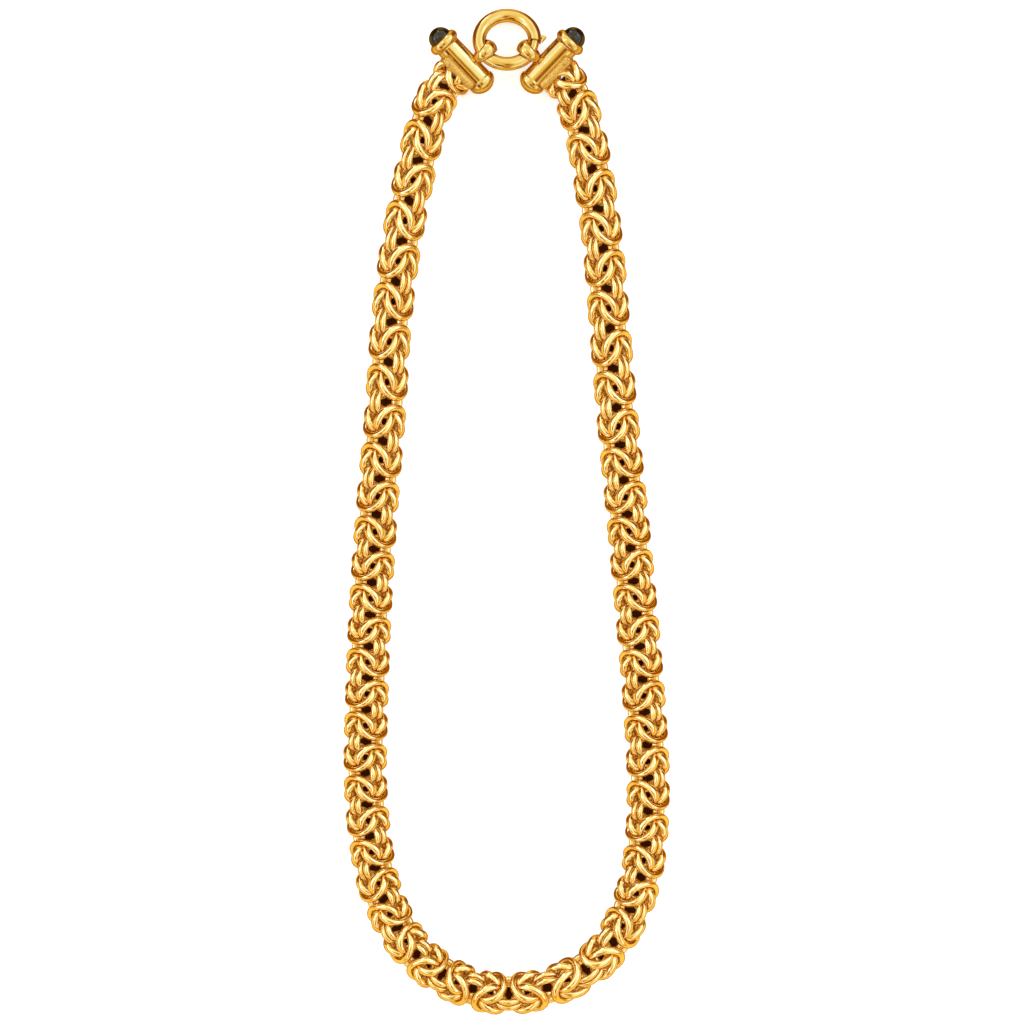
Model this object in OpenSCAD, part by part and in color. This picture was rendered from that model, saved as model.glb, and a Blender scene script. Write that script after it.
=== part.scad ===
// Byzantine chain necklace with two stone-set barrel ends and a round sprung clasp.
// It lies flat on a surface, the clasp towards +Y, +Z up. Millimetres.

/* [Chain] */
// Width of the chain, side to side and top to bottom
chain_w = 9.2; // [8:0.1:10]
// Width of the chain across its slanted sides
chain_slant_w = 8.5; // [7.6:0.1:9]
// Clear space between the chain and the plate that ends it
chain_gap = 0.1; // [0.05:0.05:0.3]
// Longest step between two sections of the chain
chain_step = 7; // [6.8:0.1:9]

/* [Barrel ends] */
// Drop of a barrel's middle below the clasp's tube beside it
barrel_drop = 0.75; // [0.6:0.05:0.9]
// Turn of a barrel's axis from the necklace's width
barrel_turn = 46; // [44:0.5:48]
// Rise of a barrel towards its stone
barrel_tilt = 9; // [8:0.5:10]
// Radius of the barrel
barrel_r = 2.7; // [2.4:0.05:2.9]
// Length of the barrel from its middle to the bezel
barrel_to_bezel = 5.4; // [5:0.1:6]
// Length of the barrel from its middle to the cap
barrel_to_cap = 4.6; // [4.4:0.1:5.5]

/* [Cap] */
// Width of the cap's lip beyond the barrel
cap_lip = 0.25; // [0.15:0.05:0.4]
// Length of the cap's straight side
cap_side = 0.85; // [0.5:0.05:1.5]
// Height of the cap's dome
cap_dome = 1.9; // [1.2:0.1:2.3]

/* [Bezel] */
// Thickness of the bezel's wall round its seat
bezel_wall = 0.72; // [0.6:0.02:0.9]
// Length of the bezel
bezel_len = 2.3; // [2:0.1:2.6]
// Depth of the seat that holds the stone
seat_depth = 0.95; // [0.8:0.05:1.2]

/* [Stone] */
// Radius of the domed stone
stone_r = 2.6; // [2.4:0.05:2.65]
// Clear space between the stone and its seat
stone_gap = 0.08; // [0.05:0.01:0.12]
// Height of the stone's straight girdle
stone_girdle = 0.75; // [0.5:0.05:1]

/* [End plate] */
// Length of the plate along the barrel
plate_len = 8.7; // [7.5:0.1:9]
// Height of the plate
plate_h = 6.4; // [5.5:0.1:7]
// Distance from the barrel's axis to the plate's outer face
plate_reach = 3.3; // [3.1:0.05:3.6]
// Thickness of the plate
plate_t = 1.9; // [1.4:0.1:2.1]
// Radius of the plate's corners
plate_corner = 0.5; // [0.2:0.1:1]
// Side of the square stud at the stone end of the plate
stud_side = 1.2; // [0.9:0.1:1.4]
// Height of the stud above the plate
stud_rise = 0.5; // [0.3:0.1:0.8]

/* [Bail] */
// Depth that the bail's band is let into the barrel
bail_seat = 0.5; // [0.4:0.05:0.6]
// Play of the tube in the bail's width
bail_play_w = 1.1; // [1:0.05:1.3]
// Play of the tube in the bail's height
bail_play_h = 2.7; // [2.6:0.1:3]
// Thickness of the bail's band
bail_t = 0.6; // [0.5:0.05:0.7]
// Width of the band where it leaves the barrel
bail_root_w = 1.6; // [1.4:0.1:1.8]
// Width of the band at its far side
bail_end_w = 2.4; // [2.1:0.1:2.5]
// Distance of the bail's middle beyond the tube's
bail_out = 0.3; // [0.2:0.05:0.35]
// Drop of the bail's middle below the tube's
bail_drop = 0.35; // [0.25:0.05:0.45]
// Shift of the bail along the barrel, towards the cap
bail_shift = 0.9; // [0.8:0.05:1.1]

/* [Clasp] */
// Radius of the clasp's ring, to the middle of its tube
ring_r = 5.85; // [5.8:0.05:5.95]
// Radius of the tube
tube_r = 1.45; // [1.4:0.05:1.5]
// Thickness of the tube's wall
tube_wall = 0.4; // [0.3:0.05:0.5]
// Clear space between the bolt and the tube's bore
bolt_gap = 0.08; // [0.05:0.01:0.1]
// Step from the bolt down to its round nose
nose_step = 0.12; // [0.08:0.01:0.2]
// Tilt of the ring, whose far edge lies on the surface
ring_tilt = 25; // [24:0.5:27]
// Place of the ring's middle along the necklace
ring_y = 99.6; // [99.5:0.1:99.8]
// Angle round the ring from its side to the middle of each bail
bail_angle = 32.6; // [31:0.2:34]
// Angle from the ring's side to the end of the tube that holds the bolt
gap_start = 5; // [4:0.5:7]
// Angle that the tube leaves open for the bolt
gap_angle = 37; // [34:1:40]
// Angle that the bolt reaches into the tube's far end
bolt_entry = 5.5; // [4:0.5:7]
// Angle that the bolt slides
bolt_travel = 42; // [40:1:46]
// Angle of the bolt that stays inside the tube
bolt_hold = 18; // [15:1:24]

/* [Lever] */
// Angle from the end of the tube to the middle of the lever's stem
lever_angle = 9.5; // [8:0.5:12]
// Radius of the lever's stem
stem_r = 0.4; // [0.3:0.05:0.45]
// Clear space round the stem in its slot
stem_gap = 0.1; // [0.05:0.05:0.2]
// Thickness of the lever's fin
fin_t = 0.8; // [0.6:0.05:1]
// Height of the fin above the tube
fin_h = 1; // [0.7:0.1:1.2]
// Clear space between the fin and the tube
fin_gap = 0.1; // [0.05:0.05:0.2]
// Angle of the ring that the fin covers
fin_angle = 12; // [10:1:14]

/* [Hidden] */
$fn = 96;

gold = "#e0a92e";
polished_gold = "#f0c65a";
stone_black = "#1b1b20";

// Middle of the chain's route between its two ends, from the left barrel round to the right one
chain_points = [
    [-13.5, 89.5], [-15.9, 84.9], [-18.8, 74.2], [-22.2, 57.3], [-24.4, 40], [-25.6, 22],
    [-27.4, 1], [-28.8, -20], [-29.6, -40], [-29.8, -58], [-28.2, -73.5], [-25.5, -83],
    [-20.3, -92], [-13.3, -97.9], [-4.6, -101.3], [4.9, -101.3], [14.2, -98.1],
    [21.6, -92], [26.4, -83], [28.9, -73.5], [29.8, -58], [28.9, -40], [27.2, -20],
    [25.2, 1], [23.1, 22], [21.6, 40], [20.1, 57.3], [17.6, 74.2], [15.1, 84.9],
    [13.2, 89.5]
];

// Directions of the left barrel in plan: along its axis to the stone, and out to the clasp
axis_dir = [-cos(barrel_turn), sin(barrel_turn)];
clasp_dir = [sin(barrel_turn), cos(barrel_turn)];

// Clasp ring: the height of its middle, and the tube's middle where the left bail holds it
ring_z = ring_r * sin(ring_tilt) + tube_r;
tube_at = [-ring_r * cos(bail_angle), ring_y - ring_r * sin(bail_angle) * cos(ring_tilt)];
tube_z = ring_z + ring_r * sin(bail_angle) * sin(ring_tilt);
bore_r = tube_r - tube_wall;
bolt_r = bore_r - bolt_gap;
nose_r = bolt_r - nose_step;

// Bail: its clear inside, and how far its middle and the tube's are from the barrel's axis
bail_in_w = 2 * tube_r + bail_play_w;
bail_in_h = 2 * tube_r + bail_play_h;
bail_reach = barrel_r - bail_seat + bail_t + bail_in_w / 2;
tube_reach = bail_reach - bail_out;

// The barrels hang on the ring by their bails
barrel_at = tube_at - tube_reach * clasp_dir + bail_shift * axis_dir;
barrel_z = tube_z - barrel_drop;
cap_r = barrel_r + cap_lip;
bezel_r = stone_r + stone_gap + bezel_wall;

// The bail's middle in the barrel's own frame
bail_lift = barrel_drop - bail_drop;
bail_at = [
    bail_lift * sin(barrel_tilt) - bail_shift * cos(barrel_tilt),
    bail_reach,
    bail_lift * cos(barrel_tilt) + bail_shift * sin(barrel_tilt)
];

// The chain starts and ends at the plates, square to them
chain_start = barrel_at - (plate_reach + chain_gap) * clasp_dir;
chain_end = [-chain_start.x, chain_start.y];
route = concat([chain_start], chain_points, [chain_end]);
last = len(route) - 1;

// A smooth curve through the points: each has a slope worked out from its neighbours' distances
function span(i) = norm(route[i + 1] - route[i]);
function slope(i) =
    i == 0 ? -clasp_dir :
    i == last ? [-clasp_dir.x, clasp_dir.y] :
    (route[i + 1] - route[i - 1]) / (span(i - 1) + span(i));
function curve_at(i, u) =
    (2 * pow(u, 3) - 3 * pow(u, 2) + 1) * route[i]
    + (pow(u, 3) - 2 * pow(u, 2) + u) * span(i) * slope(i)
    + (3 * pow(u, 2) - 2 * pow(u, 3)) * route[i + 1]
    + (pow(u, 3) - pow(u, 2)) * span(i) * slope(i + 1);
function steps(i) = ceil(span(i) / chain_step);
middles = concat(
    [for (i = [0 : last - 1]) for (k = [0 : steps(i) - 1]) curve_at(i, k / steps(i))],
    [route[last]]);
count = len(middles);
function heading(i) =
    i == 0 ? -clasp_dir :
    i == count - 1 ? [-clasp_dir.x, clasp_dir.y] :
    (middles[i + 1] - middles[i - 1]) / norm(middles[i + 1] - middles[i - 1]);

// Section of the chain: twelve sides, flat at the top, the bottom and both sides
section_sides = 12;
flat_r = chain_w / 2 / cos(180 / section_sides);
slant_r = chain_slant_w / 2;
section = [for (k = [0 : section_sides - 1])
    let (a = (k + 0.5) * 360 / section_sides, r = k % 3 == 1 ? slant_r : flat_r)
    [r * cos(a), r * sin(a)]];
function section_at(i) =
    let (d = heading(i))
    [for (p = section)
        [middles[i].x + d.y * p.x, middles[i].y - d.x * p.x, chain_w / 2 + p.y]];
chain_skin = [for (i = [0 : count - 1]) for (p = section_at(i)) p];

// Angles round the clasp ring, measured from its side: those towards the bails are negative
tube_from = -gap_start;
tube_sweep = 360 - gap_angle;
bolt_from = -gap_start - gap_angle - bolt_entry + asin(nose_r / ring_r);
bolt_to = -gap_start + bolt_hold;
stem_at = -gap_start + lever_angle;
stem_half = asin((stem_r + stem_gap) / (ring_r + tube_r));
cut_margin = 1;

// The origin lies under the middle of the whole necklace
top_y = ring_y + ring_r * cos(ring_tilt) + tube_r;
skin_x = [for (p = chain_skin) p.x];
skin_y = [for (p = chain_skin) p.y];
centre = [-(min(skin_x) + max(skin_x)) / 2, -(min(skin_y) + top_y) / 2, 0];

// Chain: one closed skin swept along the route
module chain() {
    n = section_sides;
    sides = [for (i = [0 : count - 2]) for (k = [0 : n - 1])
        let (a = i * n + k, b = i * n + (k + 1) % n)
        [a, b, b + n, a + n]];
    first_cap = [[for (k = [n - 1 : -1 : 0]) k]];
    last_cap = [[for (k = [0 : n - 1]) (count - 1) * n + k]];
    color(gold)
    translate(centre)
    polyhedron(points = chain_skin, faces = concat(first_cap, sides, last_cap));
}

// Puts the left barrel's own frame in place: x along its axis to the stone, y out to the clasp
module at_barrel() {
    translate(centre)
    translate([barrel_at.x, barrel_at.y, barrel_z])
    rotate([0, 0, 180 - barrel_turn])
    rotate([0, -barrel_tilt, 0])
    mirror([0, 1, 0])
    children();
}

// The same for the right barrel, which mirrors the left one across the ring's middle
module at_right_barrel() {
    translate([2 * centre.x, 0, 0])
    mirror([1, 0, 0])
    at_barrel()
    children();
}

// A turned piece whose axis is the barrel's, starting at x
module turned(x) {
    translate([x, 0, 0])
    rotate([0, 90, 0])
    children();
}

// Cap: a short drum closed by a low dome
module cap() {
    dome_r = (pow(cap_r, 2) + pow(cap_dome, 2)) / (2 * cap_dome);
    cap_tip = barrel_to_cap + cap_side + cap_dome;
    intersection() {
        turned(-cap_tip - cut_margin)
        cylinder(r = cap_r, h = cap_side + cap_dome + cut_margin);
        translate([dome_r - cap_tip, 0, 0])
        sphere(r = dome_r);
    }
}

// Bezel: a rolled collar with a round seat for the stone
module bezel() {
    roll_r = bezel_len / 2;
    difference() {
        turned(barrel_to_bezel) {
            cylinder(r = bezel_r - roll_r, h = bezel_len);
            translate([0, 0, roll_r])
            rotate_extrude()
            translate([bezel_r - roll_r, 0])
            circle(r = roll_r);
        }
        turned(barrel_to_bezel + bezel_len - seat_depth)
        cylinder(r = stone_r + stone_gap, h = seat_depth + cut_margin);
    }
}

// Plate on the chain's side, with a square stud at its stone end
module end_plate() {
    inner = plate_reach - plate_t;
    translate([0, -inner, 0])
    rotate([90, 0, 0])
    linear_extrude(plate_t)
    union() {
        square([plate_len - 2 * plate_corner, plate_h], center = true);
        square([plate_len, plate_h - 2 * plate_corner], center = true);
        for (x = [-1, 1], z = [-1, 1])
            translate([x * (plate_len / 2 - plate_corner), z * (plate_h / 2 - plate_corner)])
            circle(r = plate_corner);
    }
    translate([plate_len / 2 - stud_side - plate_corner, -plate_reach, plate_h / 2 - plate_corner])
    cube([stud_side, stud_side, plate_corner + stud_rise]);
}

// Section of the bail's band: flat inside and domed outside, its foot at x = 0
module band_section() {
    dome_r = (pow(bail_end_w / 2, 2) + pow(bail_t, 2)) / (2 * bail_t);
    intersection() {
        translate([bail_t - dome_r, 0])
        circle(r = dome_r);
        translate([0, -bail_end_w / 2])
        square([bail_t, bail_end_w]);
    }
}

// Bail: a tall loop whose band widens away from the barrel
module bail() {
    loop_r = bail_in_w / 2;
    leg = bail_in_h / 2 - loop_r;
    loop_out = loop_r + bail_t;
    translate(bail_at)
    intersection() {
        rotate([0, 90, 0])
        rotate([0, 0, 90])
        union() {
            for (s = [0, 1])
                rotate([0, 0, 180 * s])
                translate([0, leg, 0])
                rotate_extrude(angle = 180)
                translate([loop_r, 0])
                band_section();
            for (s = [0, 1])
                rotate([0, 0, 180 * s])
                translate([loop_r, leg, 0])
                rotate([90, 0, 0])
                linear_extrude(2 * leg)
                band_section();
        }
        translate([0, 0, -bail_in_h])
        linear_extrude(2 * bail_in_h)
        polygon([
            [-bail_root_w / 2, -loop_out], [bail_root_w / 2, -loop_out],
            [bail_end_w / 2, loop_out], [-bail_end_w / 2, loop_out]
        ]);
    }
}

// Barrel end: barrel, cap, bezel, plate and bail soldered into one piece
module terminal() {
    color(polished_gold)
    union() {
        turned(-barrel_to_cap)
        cylinder(r = barrel_r, h = barrel_to_cap + barrel_to_bezel);
        cap();
        bezel();
        end_plate();
        bail();
    }
}

// Stone: a smooth dome on a short girdle
module cabochon() {
    foot = barrel_to_bezel + bezel_len - seat_depth + stone_gap;
    color(stone_black)
    union() {
        turned(foot)
        cylinder(r = stone_r, h = stone_girdle);
        intersection() {
            translate([foot + stone_girdle, 0, 0])
            sphere(r = stone_r);
            turned(foot + stone_girdle)
            cylinder(r = 2 * stone_r, h = 2 * stone_r);
        }
    }
}

module left_terminal() {
    at_barrel() terminal();
}

module right_terminal() {
    at_right_barrel() terminal();
}

module left_cabochon() {
    at_barrel() cabochon();
}

module right_cabochon() {
    at_right_barrel() cabochon();
}

// Puts the clasp's own frame in place: the ring flat in x and y, the bails towards -y
module at_clasp() {
    translate(centre)
    translate([0, ring_y, ring_z])
    rotate([-ring_tilt, 0, 0])
    children();
}

// A profile swept round the ring from one angle to another
module swept(from, to) {
    rotate([0, 0, from])
    rotate_extrude(angle = to - from)
    children();
}

// Clasp ring: an open tube with a slot for the lever's stem along its outer side
module clasp_ring() {
    color(polished_gold)
    at_clasp()
    difference() {
        swept(tube_from, tube_from + tube_sweep)
        translate([ring_r, 0])
        difference() {
            circle(r = tube_r);
            circle(r = bore_r);
        }
        swept(stem_at - stem_half, stem_at + bolt_travel + stem_half)
        translate([ring_r, -stem_r - stem_gap])
        square([tube_r + cut_margin, 2 * (stem_r + stem_gap)]);
    }
}

// Bolt: a curved rod with a round nose, and the lever that slides it
module clasp_bolt() {
    tube_out = ring_r + tube_r;
    fin_in = tube_out + fin_gap;
    color(polished_gold)
    at_clasp()
    union() {
        swept(bolt_from, bolt_to)
        translate([ring_r, 0])
        circle(r = bolt_r);
        rotate([0, 0, bolt_from])
        translate([ring_r, 0, 0])
        sphere(r = nose_r);
        rotate([0, 0, stem_at])
        translate([ring_r, 0, 0])
        rotate([0, 90, 0])
        cylinder(r = stem_r, h = tube_r + fin_gap + fin_h / 2);
        difference() {
            translate([0, 0, -fin_t / 2])
            linear_extrude(fin_t)
            polygon([
                ring_r * [cos(tube_from), sin(tube_from)],
                fin_in * [cos(tube_from), sin(tube_from)],
                (tube_out + fin_h) * [cos(stem_at - 1), sin(stem_at - 1)],
                (tube_out + fin_h) * [cos(stem_at), sin(stem_at)],
                fin_in * [cos(tube_from + fin_angle), sin(tube_from + fin_angle)],
                ring_r * [cos(tube_from + fin_angle), sin(tube_from + fin_angle)]
            ]);
            cylinder(r = fin_in, h = 2 * fin_t, center = true);
        }
    }
}

chain();
left_terminal();
right_terminal();
left_cabochon();
right_cabochon();
clasp_ring();
clasp_bolt();
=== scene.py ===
import bisect
import bmesh
import bpy
import math
from mathutils import Matrix, Vector


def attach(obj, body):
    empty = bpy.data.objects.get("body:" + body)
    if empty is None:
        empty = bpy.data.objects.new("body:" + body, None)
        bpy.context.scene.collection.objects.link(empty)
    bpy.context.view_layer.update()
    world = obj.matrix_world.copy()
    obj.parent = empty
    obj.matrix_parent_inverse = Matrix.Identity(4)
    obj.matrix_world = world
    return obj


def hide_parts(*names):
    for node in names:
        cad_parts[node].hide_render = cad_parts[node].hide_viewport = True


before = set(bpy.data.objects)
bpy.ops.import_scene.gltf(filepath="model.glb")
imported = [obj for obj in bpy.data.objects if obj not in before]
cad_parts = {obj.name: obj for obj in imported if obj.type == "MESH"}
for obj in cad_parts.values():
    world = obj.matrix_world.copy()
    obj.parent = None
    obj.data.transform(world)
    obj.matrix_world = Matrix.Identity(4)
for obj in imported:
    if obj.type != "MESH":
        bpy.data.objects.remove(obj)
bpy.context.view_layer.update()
print("frame loaded, nodes:", ", ".join(sorted(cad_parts)))

# Everything is modelled in millimetres and brought to metres at the end of each piece
toMetres = Matrix.Scale(0.001, 4)


# Shader maths

def plug(tree, value, socket):
    if isinstance(value, Signal):
        tree.links.new(value.socket, socket)
    else:
        socket.default_value = value


class Signal:
    def __init__(self, tree, socket):
        self.tree = tree
        self.socket = socket

    def combine(self, operation, first, second):
        made = self.tree.nodes.new("ShaderNodeMath")
        made.operation = operation
        plug(self.tree, first, made.inputs[0])
        plug(self.tree, second, made.inputs[1])
        return Signal(self.tree, made.outputs[0])

    def __add__(self, other):
        return self.combine("ADD", self, other)

    def __radd__(self, other):
        return self.combine("ADD", other, self)

    def __sub__(self, other):
        return self.combine("SUBTRACT", self, other)

    def __rsub__(self, other):
        return self.combine("SUBTRACT", other, self)

    def __mul__(self, other):
        return self.combine("MULTIPLY", self, other)

    def __rmul__(self, other):
        return self.combine("MULTIPLY", other, self)


class Shading:
    def __init__(self, tree):
        self.tree = tree

    def node(self, kind, settings=None, sockets=None, output=0):
        made = self.tree.nodes.new(kind)
        for key, value in (settings or {}).items():
            if key == "stops":
                self.setStops(made.color_ramp, value)
            else:
                setattr(made, key, value)
        for key, value in (sockets or {}).items():
            plug(self.tree, value, made.inputs[key])
        return Signal(self.tree, made.outputs[output])

    def setStops(self, ramp, stops):
        while len(ramp.elements) > 1:
            ramp.elements.remove(ramp.elements[-1])
        ramp.elements[0].position, ramp.elements[0].color = stops[0]
        for place, colour in stops[1:]:
            ramp.elements.new(place).color = colour

    # Sockets 6 and 7 of a Mix node are its colours, and its output 2 is the mixed colour
    def mixColours(self, share, first, second):
        return self.node("ShaderNodeMix", {"data_type": "RGBA"}, {0: share, 6: first, 7: second}, 2)

    def noise(self, place, scale, detail, roughness=0.5):
        sockets = {"Vector": place, "Scale": scale, "Detail": detail, "Roughness": roughness}
        return self.node("ShaderNodeTexNoise", None, sockets, "Fac")

    def ramp(self, value, low, high):
        settings = {"clamp": True}
        sockets = {"Value": value, "From Min": low, "From Max": high}
        return self.node("ShaderNodeMapRange", settings, sockets)


class Finish(Shading):
    def __init__(self, name):
        self.material = bpy.data.materials.new(name)
        self.material.use_nodes = True
        super().__init__(self.material.node_tree)
        self.shader = self.tree.nodes["Principled BSDF"]
        self.place = self.node("ShaderNodeTexCoord", output="Object")

    def dress(self, sockets):
        for key, value in sockets.items():
            plug(self.tree, value, self.shader.inputs[key])
        return self.material

    def relief(self, height, depth, strength):
        return self.node(
            "ShaderNodeBump", None, {"Height": height, "Distance": depth, "Strength": strength}
        )


def tint(red, green, blue):
    def level(value):
        share = value / 255
        return share / 12.92 if share <= 0.04045 else ((share + 0.055) / 1.055) ** 2.4
    return (level(red), level(green), level(blue), 1.0)


# Pieces

def smoothPiece(name, work, material, body="root", replaced=(), levels=0):
    bmesh.ops.transform(work, matrix=toMetres, verts=work.verts)
    mesh = bpy.data.meshes.new(name)
    work.to_mesh(mesh)
    work.free()
    mesh.shade_smooth()
    mesh.materials.append(material)
    piece = bpy.data.objects.new(name, mesh)
    bpy.context.scene.collection.objects.link(piece)
    if levels:
        rounding = piece.modifiers.new("rounding", "SUBSURF")
        rounding.levels = levels
        rounding.render_levels = levels
    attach(piece, body)
    if replaced:
        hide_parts(*replaced)
    return piece


def closeUp(work, distance=0.001):
    bmesh.ops.remove_doubles(work, verts=work.verts, dist=distance)
    bmesh.ops.recalc_face_normals(work, faces=work.faces)


# Route of the chain, from the left barrel round to the right one

chainRoute = dict(
    shift=Vector((0.047, -0.0205)),
    start=Vector((-11.2364, 91.9031)),
    startHeading=Vector((-0.71934, -0.69466)),
    perSpan=24,
    points=[
        (-13.5, 89.5), (-15.9, 84.9), (-18.8, 74.2), (-22.2, 57.3), (-24.4, 40), (-25.6, 22),
        (-27.4, 1), (-28.8, -20), (-29.6, -40), (-29.8, -58), (-28.2, -73.5), (-25.5, -83),
        (-20.3, -92), (-13.3, -97.9), (-4.6, -101.3), (4.9, -101.3), (14.2, -98.1),
        (21.6, -92), (26.4, -83), (28.9, -73.5), (29.8, -58), (28.9, -40), (27.2, -20),
        (25.2, 1), (23.1, 22), (21.6, 40), (20.1, 57.3), (17.6, 74.2), (15.1, 84.9),
        (13.2, 89.5),
    ],
)


def between(start, end, startSlope, endSlope, gap, share):
    square = share ** 2
    cube = share ** 3
    return (
        start * (2 * cube - 3 * square + 1)
        + startSlope * (gap * (cube - 2 * square + share))
        + end * (3 * square - 2 * cube)
        + endSlope * (gap * (cube - square))
    )


def traceRoute(settings):
    start = settings["start"]
    heading = settings["startHeading"]
    points = [start] + [Vector(point) for point in settings["points"]]
    points.append(Vector((-start.x, start.y)))
    gaps = [(after - before).length for before, after in zip(points, points[1:])]
    slopes = [heading]
    for index in range(1, len(points) - 1):
        slopes.append((points[index + 1] - points[index - 1]) / (gaps[index - 1] + gaps[index]))
    slopes.append(Vector((heading.x, -heading.y)))
    count = settings["perSpan"]
    trace = []
    for index, gap in enumerate(gaps):
        for step in range(count):
            trace.append(between(
                points[index], points[index + 1], slopes[index], slopes[index + 1], gap, step / count
            ))
    trace.append(points[-1])
    lengths = [0.0]
    for before, after in zip(trace, trace[1:]):
        lengths.append(lengths[-1] + (after - before).length)
    headings = [slopes[0]]
    for before, after in zip(trace, trace[2:]):
        headings.append((after - before).normalized())
    headings.append(slopes[-1])
    return lengths, [point + settings["shift"] for point in trace], headings


routeLengths, routeTrace, routeHeadings = traceRoute(chainRoute)
print("route traced:", round(routeLengths[-1], 2), "mm")


def onRoute(length):
    index = bisect.bisect_right(routeLengths, length) - 1
    index = min(max(index, 0), len(routeLengths) - 2)
    share = (length - routeLengths[index]) / (routeLengths[index + 1] - routeLengths[index])
    held = min(max(share, 0), 1)
    heading = routeHeadings[index].lerp(routeHeadings[index + 1], held).normalized()
    point = routeTrace[index].lerp(routeTrace[index + 1], held)
    return point + heading * ((share - held) * (routeLengths[index + 1] - routeLengths[index])), heading


# Woven chain: knots of four leaning rings, a quarter turn between them, joined by pairs of rings

weave = dict(
    knots=56,
    pitch=8.5,
    spread=1.05,
    knotWire=(1.6, 1.9),
    pairWire=(1.3, 1.4),
    wireFlat=0.81,
    pairRadius=3.22,
    pairApart=0.8,
    knotRadius=3.32,
    knotOut=1.55,
    knotStep=0.35,
    knotLean=26,
    ringSteps=12,
    wireSides=8,
    width=9.2,
    squash=0.985,
    stretchedWidth=0.95,
    slackPitch=6.7,
    tautPitch=8.6,
    # the chain flattens towards the plates that hold its ends
    endLength=5.0,
    endHeight=0.64,
    endMiddle=4.5,
    endSqueeze=0.35,
    # where along the chain, in millimetres, the middle of some of the knots lies
    stations=[
        (0, -0.6), (1, 6.9), (6, 50.0), (10, 83.5), (13, 105.9), (17, 132.9), (22, 166.4), (27, 200.7),
        (29, 216.0), (31, 233.5), (33, 248.9), (36, 270.0), (40, 297.8), (44, 325.7),
        (47, 347.9), (50, 372.9), (55, 415.1),
        (56, 422.6),
    ],
)

# One Subdivision level pulls the wire's corners and a twelve-sided ring in by these shares
wireShrink = 0.9038
ringShrink = 0.9662


def stationSlopes(stations):
    slopes = []
    for index in range(len(stations)):
        before = stations[max(index - 1, 0)]
        after = stations[min(index + 1, len(stations) - 1)]
        slopes.append((after[1] - before[1]) / (after[0] - before[0]))
    return slopes


def stationOf(unit, stations, slopes):
    if unit <= stations[0][0]:
        return stations[0][1] + (unit - stations[0][0]) * slopes[0], slopes[0]
    if unit >= stations[-1][0]:
        return stations[-1][1] + (unit - stations[-1][0]) * slopes[-1], slopes[-1]
    index = max(i for i, (number, length) in enumerate(stations[:-1]) if number <= unit)
    first, firstLength = stations[index]
    last, lastLength = stations[index + 1]
    gap = last - first
    share = (unit - first) / gap
    length = between(firstLength, lastLength, slopes[index], slopes[index + 1], gap, share)
    pitch = slopes[index] * (1 - share) + slopes[index + 1] * share
    return length, pitch


def wireRing(settings, radius, wire):
    work = bmesh.new()
    section = (
        Matrix.Translation((radius / ringShrink, 0, 0))
        @ Matrix.Diagonal((wire[0] / 2, 1, wire[1] / 2, 1))
        @ Matrix.Rotation(math.pi / 2, 4, "X")
    )
    made = bmesh.ops.create_circle(work, segments=settings["wireSides"], radius=1 / wireShrink)
    for vertex in made["verts"][::2]:
        vertex.co *= settings["wireFlat"]
    bmesh.ops.transform(work, matrix=section, verts=work.verts)
    bmesh.ops.spin(
        work,
        geom=work.verts[:] + work.edges[:],
        cent=(0, 0, 0),
        axis=(0, 0, 1),
        angle=2 * math.pi,
        steps=settings["ringSteps"],
        use_merge=True,
    )
    closeUp(work)
    mesh = bpy.data.meshes.new("ring")
    work.to_mesh(mesh)
    work.free()
    return mesh


def ringPlace(centre, first, second):
    place = Matrix((first, second, first.cross(second))).transposed().to_4x4()
    place.translation = centre
    return place


def pairRings(settings):
    rings = []
    for side in (1, -1):
        centre = Vector((0, side * settings["pairApart"], 0))
        rings.append(ringPlace(centre, Vector((1, 0, 0)), Vector((0, 0, 1))))
    return rings


def knotRings(settings):
    lean = math.radians(settings["knotLean"])
    half = settings["pitch"] / 2
    rings = []
    for side in (1, -1):
        centre = Vector((side * settings["knotOut"], 0, half + settings["knotStep"]))
        leaning = Vector((side * math.sin(lean), 0, math.cos(lean)))
        rings.append(ringPlace(centre, Vector((0, 1, 0)), leaning))
        centre = Vector((0, side * settings["knotOut"], half - settings["knotStep"]))
        leaning = Vector((0, -side * math.sin(lean), math.cos(lean)))
        rings.append(ringPlace(centre, Vector((1, 0, 0)), leaning))
    return rings


def layAlong(settings, unit, spot, slopes):
    length, pitch = stationOf(
        unit - 0.5 + spot.z / settings["pitch"], settings["stations"], slopes
    )
    taut = (pitch - settings["slackPitch"]) / (settings["tautPitch"] - settings["slackPitch"])
    narrowed = 1 - (1 - settings["stretchedWidth"]) * min(max(taut, 0), 1)
    scale = settings["spread"] * narrowed * math.sqrt(0.5)
    sideways = (spot.x - spot.y) * scale
    upwards = -(spot.x + spot.y) * scale * settings["squash"]
    middle = settings["width"] / 2 * narrowed
    beyond = min(length, 0) + max(length - routeLengths[-1], 0)
    length -= beyond * (1 - settings["endSqueeze"])
    toEnd = min(length, routeLengths[-1] - length)
    sunk = min(max(1 - toEnd / settings["endLength"], 0), 1)
    middle += (settings["endMiddle"] - middle) * sunk
    upwards *= 1 - (1 - settings["endHeight"]) * sunk
    point, heading = onRoute(length)
    return (point.x + heading.y * sideways, point.y - heading.x * sideways, middle + upwards)


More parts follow.
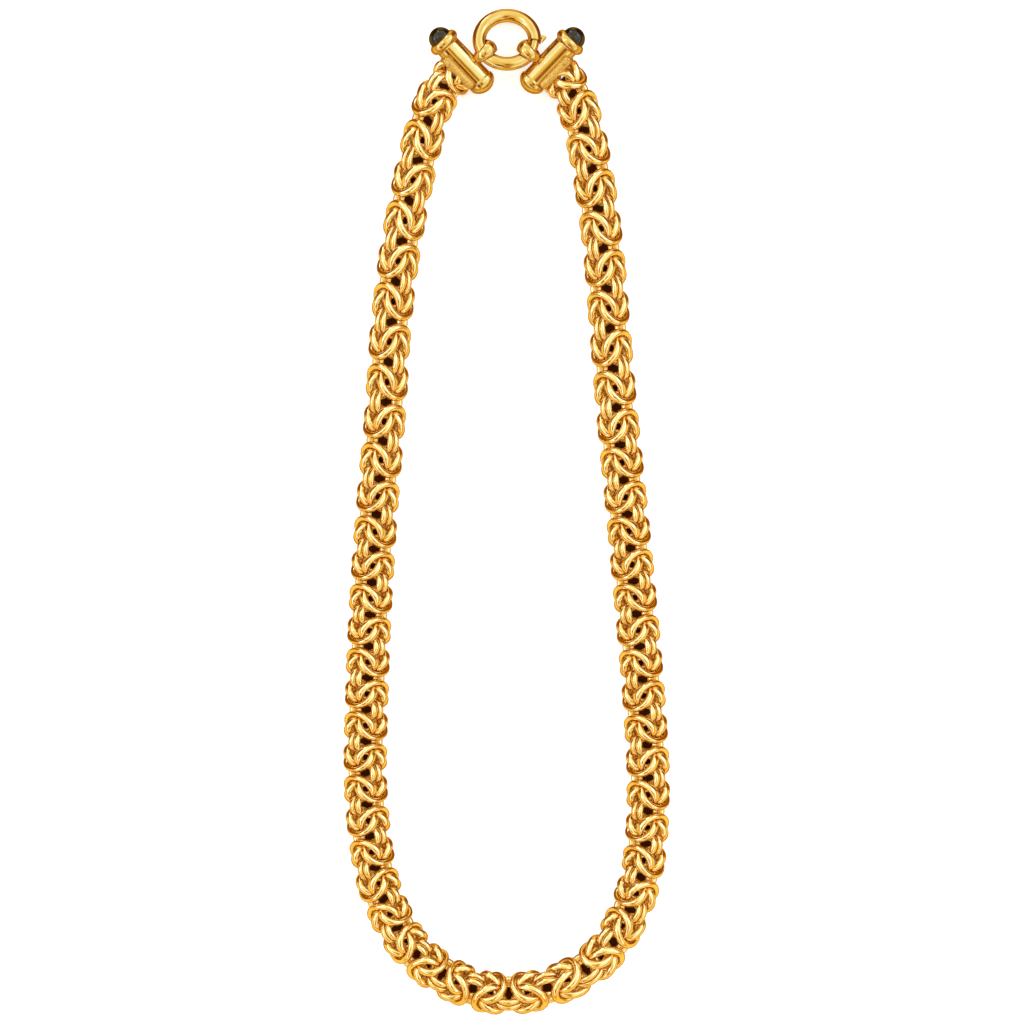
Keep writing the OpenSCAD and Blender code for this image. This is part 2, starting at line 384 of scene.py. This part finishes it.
def weavePiece(name, units, settings, material, replaced=()):
    pairRing = wireRing(settings, settings["pairRadius"], settings["pairWire"])
    knotRing = wireRing(settings, settings["knotRadius"], settings["knotWire"])
    slopes = stationSlopes(settings["stations"])
    work = bmesh.new()
    for unit in units:
        turn = Matrix.Rotation(math.pi / 2 * unit, 4, "Z")
        rings = [(knotRing, place) for place in knotRings(settings)]
        # Each knot but the first brings the pair that joins it to the knot before it
        if unit > 0:
            rings += [(pairRing, place) for place in pairRings(settings)]
        for ring, place in rings:
            before = len(work.verts)
            work.from_mesh(ring)
            work.verts.ensure_lookup_table()
            for vertex in work.verts[before:]:
                vertex.co = layAlong(settings, unit, turn @ place @ vertex.co, slopes)
    bmesh.ops.recalc_face_normals(work, faces=work.faces)
    return smoothPiece(name, work, material, replaced=replaced, levels=1)


# Barrel ends

barrelEnd = dict(
    origin=Vector((-8.7436, 94.2444, 4.504)),
    mirrorAt=0.047,
    turn=46,
    tilt=9,
    radius=2.7,
    capRadius=2.95,
    capAt=-4.6,
    capSide=0.85,
    capDome=1.9,
    capRound=0.3,
    # share of the dome that is drawn before the cap's round corner
    domeShare=0.93,
    domeSteps=10,
    lipSide=0.15,
    lipRound=0.12,
    lipSteps=4,
    neckStart=0.04,
    neckEnd=0.4,
    bezelAt=5.4,
    bezelStep=0.3,
    rollRadius=1.15,
    rollMiddle=2.25,
    rollFrom=157,
    rollTo=26,
    rollSteps=16,
    seatRadius=2.52,
    seatInset=0.01,
    # shares of the roll's radius at which the seat's edge and its wall start
    seatEdge=0.88,
    seatWall=0.6,
    seatAt=6.8,
    steps=64,
)

endPlate = dict(
    size=(8.7, 1.9, 6.1),
    middle=(0, -2.35, 0),
    edge=0.8,
    edgeSteps=4,
    studSize=(1.2, 1.2, 1.2),
    studMiddle=(3.25, -2.7, 3.1),
    studEdge=0.22,
    studEdgeSteps=3,
)

bail = dict(
    middle=Vector((-0.826, 4.8, 0.536)),
    inside=2.0,
    leg=0.8,
    thickness=0.78,
    edge=0.2,
    corner=0.06,
    width=3.1,
    rootWidth=1.5,
    crownSteps=8,
    steps=20,
)

stone = dict(radius=2.5, footAt=6.85, girdleAt=7.55, domeFrom=86, domeSteps=14, steps=64)


def barrelFrame(settings, mirrored):
    turn = math.radians(settings["turn"])
    tilt = math.radians(settings["tilt"])
    out = Vector((-math.cos(turn) * math.cos(tilt), math.sin(turn) * math.cos(tilt), math.sin(tilt)))
    clasp = Vector((math.sin(turn), math.cos(turn), 0))
    rise = Vector((math.cos(turn) * math.sin(tilt), -math.sin(turn) * math.sin(tilt), math.cos(tilt)))
    place = Matrix((out, clasp, rise)).transposed().to_4x4()
    place.translation = settings["origin"]
    if mirrored:
        across = settings["mirrorAt"]
        place = (
            Matrix.Translation((across, 0, 0))
            @ Matrix.Scale(-1, 4, (1, 0, 0))
            @ Matrix.Translation((-across, 0, 0))
            @ place
        )
    return place


def arc(middle, height, radius, fromAngle, toAngle, steps):
    points = []
    for step in range(steps + 1):
        angle = math.radians(fromAngle + (toAngle - fromAngle) * step / steps)
        points.append((middle + radius * math.cos(angle), height + radius * math.sin(angle)))
    return points


def turnedShape(profile, steps):
    work = bmesh.new()
    line = [work.verts.new((along, 0, out)) for along, out in profile]
    for first, second in zip(line, line[1:]):
        work.edges.new((first, second))
    bmesh.ops.spin(
        work,
        geom=work.verts[:] + work.edges[:],
        cent=(0, 0, 0),
        axis=(1, 0, 0),
        angle=2 * math.pi,
        steps=steps,
        use_merge=True,
    )
    closeUp(work)
    return work


def barrelShape(settings):
    cap = settings["capRadius"]
    dome = settings["capDome"]
    domeRadius = (cap ** 2 + dome ** 2) / (2 * dome)
    tip = settings["capAt"] - settings["capSide"] - dome
    spread = math.degrees(math.asin(cap / domeRadius))
    edge = settings["capRound"]
    lastAngle = 180 - spread * settings["domeShare"]
    profile = arc(tip + domeRadius, 0, domeRadius, 180, lastAngle, settings["domeSteps"])
    capAt = settings["capAt"]
    corner = capAt - settings["capSide"]
    profile += [
        (corner + edge / 4, cap - edge / 10),
        (corner + edge, cap),
        (capAt - settings["lipSide"], cap),
    ]
    lip = settings["lipRound"]
    profile += arc(capAt - lip, cap - lip, lip, 90, 0, settings["lipSteps"])
    radius = settings["radius"]
    profile += [
        (capAt + settings["neckStart"], radius),
        (capAt + settings["neckEnd"], radius),
        (settings["bezelAt"] - settings["bezelStep"], radius),
    ]
    roll = settings["rollRadius"]
    rollAt = settings["bezelAt"] + roll
    profile += arc(
        rollAt, settings["rollMiddle"], roll,
        settings["rollFrom"], settings["rollTo"], settings["rollSteps"],
    )
    wall = settings["seatRadius"] - settings["seatInset"]
    profile += [
        (rollAt + roll * settings["seatEdge"], settings["seatRadius"]),
        (rollAt + roll * settings["seatWall"], wall),
        (settings["seatAt"], wall),
        (settings["seatAt"], 0),
    ]
    return turnedShape(profile, settings["steps"])


def roundedBlock(size, middle, edge, segments):
    work = bmesh.new()
    bmesh.ops.create_cube(work, size=1)
    bmesh.ops.scale(work, vec=size, verts=work.verts)
    bmesh.ops.bevel(
        work,
        geom=work.edges[:],
        offset=edge,
        affect="EDGES",
        segments=segments,
        profile=0.5,
        material=-1,
    )
    bmesh.ops.translate(work, vec=middle, verts=work.verts)
    return work


def bailShape(settings):
    work = bmesh.new()
    half = settings["width"] / 2
    inside = settings["inside"]
    leg = settings["leg"]
    edge = settings["edge"]
    corner = settings["corner"]
    crown = settings["crownSteps"]
    section = [(-half + corner, 0.0), (-half, corner), (-half, edge)]
    for step in range(1, crown):
        across = -1 + 2 * step / crown
        section.append((half * across, edge + (settings["thickness"] - edge) * (1 - across ** 2)))
    section += [(half, edge), (half, corner), (half - corner, 0.0)]
    loop = [work.verts.new((across, inside + out, leg)) for across, out in section]
    for first, second in zip(loop, loop[1:] + loop[:1]):
        work.edges.new((first, second))
    ends = work.verts[:] + work.edges[:]
    for sign in (1, -1):
        made = bmesh.ops.spin(
            work,
            geom=ends,
            cent=(0, 0, sign * leg),
            axis=(1, 0, 0),
            angle=math.pi,
            steps=settings["steps"],
        )
        edges = [item for item in made["geom_last"] if isinstance(item, bmesh.types.BMEdge)]
        made = bmesh.ops.extrude_edge_only(work, edges=edges)
        verts = [item for item in made["geom"] if isinstance(item, bmesh.types.BMVert)]
        bmesh.ops.translate(work, vec=(0, 0, -2 * leg * sign), verts=verts)
        ends = verts + [item for item in made["geom"] if isinstance(item, bmesh.types.BMEdge)]
    # The band narrows towards the barrel
    reach = inside + settings["thickness"]
    narrow = settings["rootWidth"] / settings["width"]
    for vertex in work.verts:
        share = (vertex.co.y + reach) / (2 * reach)
        vertex.co.x *= narrow + (1 - narrow) * math.sqrt(max(share, 0))
    closeUp(work)
    bmesh.ops.translate(work, vec=settings["middle"], verts=work.verts)
    return work


def stoneShape(settings):
    radius = settings["radius"]
    girdle = settings["girdleAt"]
    profile = [(settings["footAt"], 0), (settings["footAt"], radius), (girdle, radius)]
    profile += arc(girdle, 0, radius, settings["domeFrom"], 0, settings["domeSteps"])
    return turnedShape(profile, settings["steps"])


def placeShape(work, place):
    bmesh.ops.transform(work, matrix=place, verts=work.verts)
    bmesh.ops.recalc_face_normals(work, faces=work.faces)
    return work


# Materials

def chainGold():
    finish = Finish("chainGold")
    cloud = finish.noise(finish.place, scale=160.0, detail=3.0)
    grain = finish.noise(finish.place, scale=4200.0, detail=3.0, roughness=0.6)
    worn = finish.noise(finish.place, scale=900.0, detail=4.0, roughness=0.65)
    share = finish.ramp(cloud, low=0.35, high=0.65)
    colour = finish.mixColours(share, tint(247, 208, 146), tint(253, 221, 168))
    height = grain * 0.6 + worn * 0.8
    return finish.dress({
        "Base Color": colour,
        "Metallic": 1.0,
        "Roughness": 0.08 + worn * 0.1 + grain * 0.04,
        "Normal": finish.relief(height, depth=0.000012, strength=0.3),
    })


def polishedGold():
    finish = Finish("polishedGold")
    cloud = finish.noise(finish.place, scale=220.0, detail=2.0)
    scuff = finish.noise(finish.place, scale=1500.0, detail=4.0, roughness=0.6)
    share = finish.ramp(cloud, low=0.35, high=0.65)
    colour = finish.mixColours(share, tint(221, 179, 110), tint(231, 194, 129))
    return finish.dress({
        "Base Color": colour,
        "Metallic": 1.0,
        "Roughness": 0.11 + scuff * 0.12,
        "Normal": finish.relief(scuff, depth=0.000012, strength=0.35),
    })


def sandyGold():
    finish = Finish("sandyGold")
    sand = finish.noise(finish.place, scale=3600.0, detail=4.0, roughness=0.7)
    cloud = finish.noise(finish.place, scale=420.0, detail=2.0)
    share = finish.ramp(sand, low=0.38, high=0.62)
    colour = finish.mixColours(share, tint(196, 138, 58), tint(246, 204, 126))
    return finish.dress({
        "Base Color": colour,
        "Metallic": 1.0,
        "Roughness": 0.4 + cloud * 0.16,
        "Normal": finish.relief(sand, depth=0.00009, strength=0.8),
    })


def blackStone():
    finish = Finish("blackStone")
    cloud = finish.noise(finish.place, scale=500.0, detail=3.0)
    fine = finish.noise(finish.place, scale=2400.0, detail=2.0)
    share = finish.ramp(cloud, low=0.4, high=0.7)
    colour = finish.mixColours(share, tint(4, 4, 5), tint(12, 12, 13))
    return finish.dress({
        "Base Color": colour,
        "Roughness": 0.05 + fine * 0.05,
        "IOR": 1.6,
        "Specular Tint": (1.0, 0.82, 0.76, 1),
    })


def paleFloor():
    finish = Finish("paleFloor")
    cloud = finish.noise(finish.place, scale=3.0, detail=2.0)
    colour = finish.mixColours(cloud, tint(226, 232, 246), tint(230, 235, 250))
    return finish.dress({
        "Base Color": colour,
        "Roughness": 0.9,
        "Specular IOR Level": 0.1,
        "Emission Color": (0.9, 0.94, 1.0, 1),
        "Emission Strength": 0.6,
    })


def paintedShadowFloor():
    finish = Finish("paintedShadowFloor")
    cloud = finish.noise(finish.place, scale=60.0, detail=2.0)
    # Painted shadow: the dark brown colour of the sheet laid under the chain
    colour = finish.mixColours(cloud, tint(74, 33, 8), tint(86, 40, 11))
    cover = finish.node("ShaderNodeAttribute", {"attribute_name": "cover"}, output="Fac")
    return finish.dress({
        "Base Color": colour,
        "Roughness": 1.0,
        "Specular IOR Level": 0.0,
        "Alpha": cover,
    })


chainFinish = chainGold()
polishedFinish = polishedGold()
sandyFinish = sandyGold()
stoneFinish = blackStone()
print("materials ready")

halfway = weave["knots"] // 2
weavePiece("wovenChainLeft", range(0, halfway), weave, chainFinish, replaced=("chain",))
weavePiece("wovenChainRight", range(halfway, weave["knots"] + 1), weave, chainFinish)
print("chain woven:", weave["knots"] + 1, "knots")

for side, mirrored in (("left", False), ("right", True)):
    place = barrelFrame(barrelEnd, mirrored)
    smoothPiece(
        side + "Barrel", placeShape(barrelShape(barrelEnd), place), polishedFinish,
        replaced=(side + "_terminal",)
    )
    plate = roundedBlock(
        endPlate["size"], endPlate["middle"], endPlate["edge"], endPlate["edgeSteps"]
    )
    smoothPiece(side + "Plate", placeShape(plate, place), sandyFinish)
    stud = roundedBlock(
        endPlate["studSize"], endPlate["studMiddle"], endPlate["studEdge"], endPlate["studEdgeSteps"]
    )
    smoothPiece(side + "Stud", placeShape(stud, place), sandyFinish)
    smoothPiece(side + "Bail", placeShape(bailShape(bail), place), polishedFinish)
    smoothPiece(
        side + "Stone", placeShape(stoneShape(stone), place), stoneFinish,
        replaced=(side + "_cabochon",)
    )
print("barrel ends ready")

for name in ("clasp_ring", "clasp_bolt"):
    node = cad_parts[name]
    for holder in node.material_slots:
        holder.material = polishedFinish
print("clasp dressed")


# Floor, light and camera

studio = dict(
    floorSize=4.0,
    # how light the surroundings are by height: 0 straight below, 0.5 the horizon, 1 overhead
    levels=[
        (0.0, 0.42), (0.16, 0.47), (0.28, 0.68), (0.42, 0.74), (0.475, 0.6), (0.52, 0.45), (0.58, 0.47),
        (0.605, 0.6), (0.64, 0.97), (0.73, 0.97), (0.79, 0.72), (0.99, 0.7), (0.995, 0.64),
    ],
    # colour of the light by how light it is: brown in the dark, cool in the soft boxes
    colours=[
        (0.0, (0.0, 0.0, 0.0, 1)), (0.1, (0.034, 0.01, 0.001, 1)), (0.3, (0.15, 0.055, 0.005, 1)),
        (0.5, (0.31, 0.19, 0.025, 1)), (0.65, (0.42, 0.335, 0.1, 1)), (0.78, (0.48, 0.47, 0.23, 1)),
        (0.9, (0.51, 0.6, 0.5, 1)), (1.0, (0.52, 0.68, 0.86, 1)),
    ],
    strength=2.45,
    # patches of the surroundings: the way to each, inner and outer half width in degrees, change
    boxes=[
        ((0.5, 0.08, 0.86), 14, 27, 0.24),
        ((0.74, 0.37, 0.57), 9, 20, 0.2),
        ((-0.64, 0.23, 0.74), 12, 24, 0.24),
        ((0.05, 0.5, 0.86), 8, 30, 0.12),
    ],
    shades=[
        ((-0.33, -0.68, 0.66), 8, 16, 0.82),
        ((0.1, -0.49, 0.866), 5, 12, 0.72),
        ((0.0, -0.26, 0.966), 3, 9, 0.65),
        ((0.0, -0.88, 0.47), 8, 16, 0.6),
        ((-0.66, 0.66, -0.3), 20, 36, 0.65),
        ((0.66, 0.66, -0.3), 20, 36, 0.65),
    ],
    lamps=[
        ((0.7, 0.48, 0.53), 5, 13, 1.8),
        ((-0.897, -0.063, 0.438), 2, 5, 14.0),
        ((-0.457, 0.297, 0.839), 1.5, 4, 10.0),
        ((-0.34, 0.93, 0.12), 3, 8, 5.0),
    ],
    # tint of what lies under the horizon, and the height at which it is in full
    warmBelow=(1.0, 0.87, 0.52, 1),
    warmFrom=-0.2,
)

work = bmesh.new()
bmesh.ops.create_grid(work, x_segments=1, y_segments=1, size=studio["floorSize"] / 2)
floorMesh = bpy.data.meshes.new("floor")
work.to_mesh(floorMesh)
work.free()
floor = bpy.data.objects.new("floor", floorMesh)
floorMesh.materials.append(paleFloor())
bpy.context.scene.collection.objects.link(floor)
floor.visible_glossy = False

# A painted shadow: a dark sheet on the floor right under the chain, standing in for the shade where no
# light reaches; it fades towards its sides
underChain = dict(dark=1.8, fade=3.3, height=0.03, step=1.0, margin=0.2)
work = bmesh.new()
cover = work.verts.layers.float.new("cover")
rows = []
length = underChain["margin"]
while length < routeLengths[-1] - underChain["margin"]:
    point, heading = onRoute(length)
    row = []
    for side, width, dark in ((1, "fade", 0), (1, "dark", 1), (-1, "dark", 1), (-1, "fade", 0)):
        across = side * underChain[width]
        spot = (point.x + heading.y * across, point.y - heading.x * across, underChain["height"])
        vertex = work.verts.new(spot)
        vertex[cover] = dark
        row.append(vertex)
    rows.append([work.edges.new(pair) for pair in zip(row, row[1:])])
    length += underChain["step"]
for first, second in zip(rows, rows[1:]):
    bmesh.ops.bridge_loops(work, edges=first + second)
bmesh.ops.recalc_face_normals(work, faces=work.faces)
bmesh.ops.transform(work, matrix=toMetres, verts=work.verts)
shadeMesh = bpy.data.meshes.new("paintedShadowUnderChain")
work.to_mesh(shadeMesh)
work.free()
shadeMesh.materials.append(paintedShadowFloor())
paintedShadowUnderChain = bpy.data.objects.new("paintedShadowUnderChain", shadeMesh)
bpy.context.scene.collection.objects.link(paintedShadowUnderChain)

world = bpy.data.worlds.new("studio")
world.use_nodes = True
bpy.context.scene.world = world
sky = Shading(world.node_tree)
direction = sky.node("ShaderNodeTexCoord", output="Generated")


def skyPatch(towards, inner, outer):
    aim = Vector(towards).normalized()
    facing = sky.node("ShaderNodeVectorMath", {"operation": "DOT_PRODUCT"}, {0: direction, 1: aim}, "Value")
    return sky.ramp(facing, math.cos(math.radians(outer)), math.cos(math.radians(inner)))


height = sky.node("ShaderNodeSeparateXYZ", None, {0: direction}, "Z")
stops = [(place, (level, level, level, 1)) for place, level in studio["levels"]]
light = sky.node("ShaderNodeValToRGB", {"stops": stops}, {0: height * 0.5 + 0.5})
for towards, inner, outer, change in studio["boxes"]:
    light = light + skyPatch(towards, inner, outer) * change
for towards, inner, outer, change in studio["shades"]:
    light = light * (1 - skyPatch(towards, inner, outer) * change)
strength = sky.node("ShaderNodeValue")
strength.socket.default_value = studio["strength"]
for towards, inner, outer, change in studio["lamps"]:
    patch = skyPatch(towards, inner, outer)
    light = light + patch
    strength = strength + patch * change
background = world.node_tree.nodes["Background"]
colour = sky.node("ShaderNodeValToRGB", {"stops": studio["colours"]}, {0: light})
colour = sky.node(
    "ShaderNodeMix", {"data_type": "RGBA", "blend_type": "MULTIPLY"},
    {0: sky.ramp(height, 0.0, studio["warmFrom"]), 6: colour, 7: studio["warmBelow"]}, 2
)
plug(world.node_tree, colour, background.inputs["Color"])
plug(world.node_tree, strength, background.inputs["Strength"])

view = dict(lens=200, sensor=36, at=(0.001102, -0.000126, 1.2046), clipEnd=20)
camera = bpy.data.cameras.new("camera")
camera.lens = view["lens"]
camera.sensor_width = view["sensor"]
camera.clip_end = view["clipEnd"]
cameraObject = bpy.data.objects.new("camera", camera)
cameraObject.location = view["at"]
bpy.context.scene.collection.objects.link(cameraObject)
bpy.context.scene.camera = cameraObject
bpy.context.scene.view_settings.view_transform = "Standard"
print("floor, light and camera ready")
